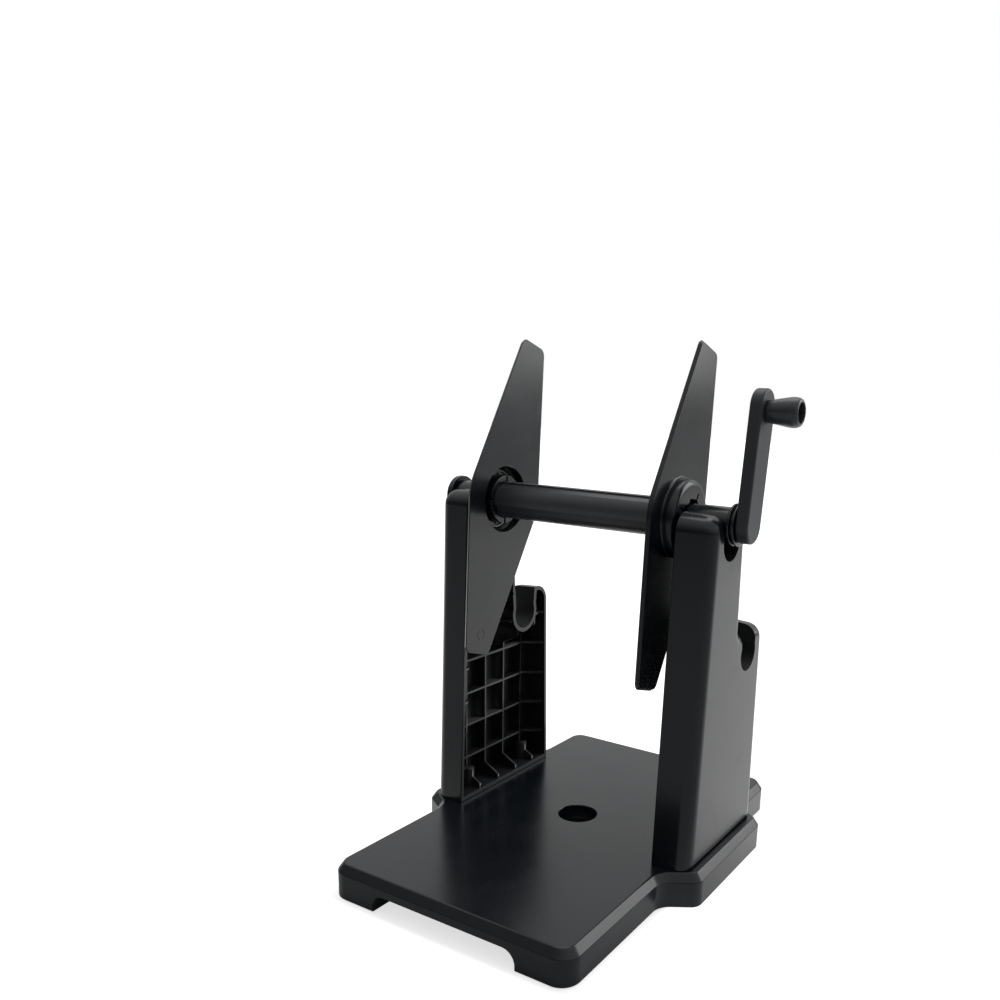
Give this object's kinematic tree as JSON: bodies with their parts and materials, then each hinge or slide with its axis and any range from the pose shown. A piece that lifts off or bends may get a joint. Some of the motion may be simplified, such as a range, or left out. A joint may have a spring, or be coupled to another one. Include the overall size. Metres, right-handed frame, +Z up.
{
  "type": "manual label rewinder",
  "caption": "Hand cranked label rewinder: moulded base, two ribbed uprights and a lift-out spindle with sliding bow-tie flanges.",
  "frame": {"origin": "centre of the whole object's box, on the plane that the feet stand on", "axes": "+Z up, +X along the spindle towards the crank, +Y from the front to the rear"},
  "size_m": [0.2208, 0.255, 0.3091],
  "materials": {
    "black_plastic": "fine moulded satin, dark grey-black",
    "smooth_plastic": "smooth black, half gloss",
    "rubber": "matte black",
    "steel": "plain turned steel",
    "black_steel": "blackened"
  },
  "bodies": {
    "root": {"base_plate": "black_plastic", "rubber_foot_front_left": "rubber", "rubber_foot_front_right": "rubber", "rubber_foot_rear_left": "rubber", "rubber_foot_rear_right": "rubber", "left_side_panel": "black_plastic", "right_side_panel": "black_plastic", "panel_screw_front_left": "steel", "panel_screw_front_right": "steel", "panel_screw_rear_left": "steel", "panel_screw_rear_right": "steel"},
    "bushes": {"left_bush": "smooth_plastic", "right_bush": "smooth_plastic"},
    "spindle": {"spindle_tube": "smooth_plastic", "spindle_axle": "steel", "left_end_cap": "smooth_plastic", "end_cap_screw": "black_steel", "right_collar": "smooth_plastic", "crank_arm": "black_plastic", "knob_screw": "black_steel"},
    "left_flange": {"left_flange": "black_plastic"},
    "right_flange": {"right_flange": "black_plastic"},
    "knob": {"crank_knob": "smooth_plastic"}
  },
  "joints": [
    {"name": "spindle_lift", "type": "slide", "parent": "root", "child": "bushes", "axis": [0, 0, 1], "range_m": [0, 0.03]},
    {"name": "spindle_spin", "type": "hinge", "parent": "bushes", "child": "spindle", "pos_m": [0, 0.0045, 0.2142], "axis": [1, 0, 0], "continuous": true},
    {"name": "left_flange_slide", "type": "slide", "parent": "spindle", "child": "left_flange", "axis": [1, 0, 0], "range_m": [0, 0.055]},
    {"name": "right_flange_slide", "type": "slide", "parent": "spindle", "child": "right_flange", "axis": [-1, 0, 0], "range_m": [0, 0.055]},
    {"name": "knob_spin", "type": "hinge", "parent": "spindle", "child": "knob", "pos_m": [0.102, 0.01145, 0.27339], "axis": [1, 0, 0], "continuous": true}
  ]
}
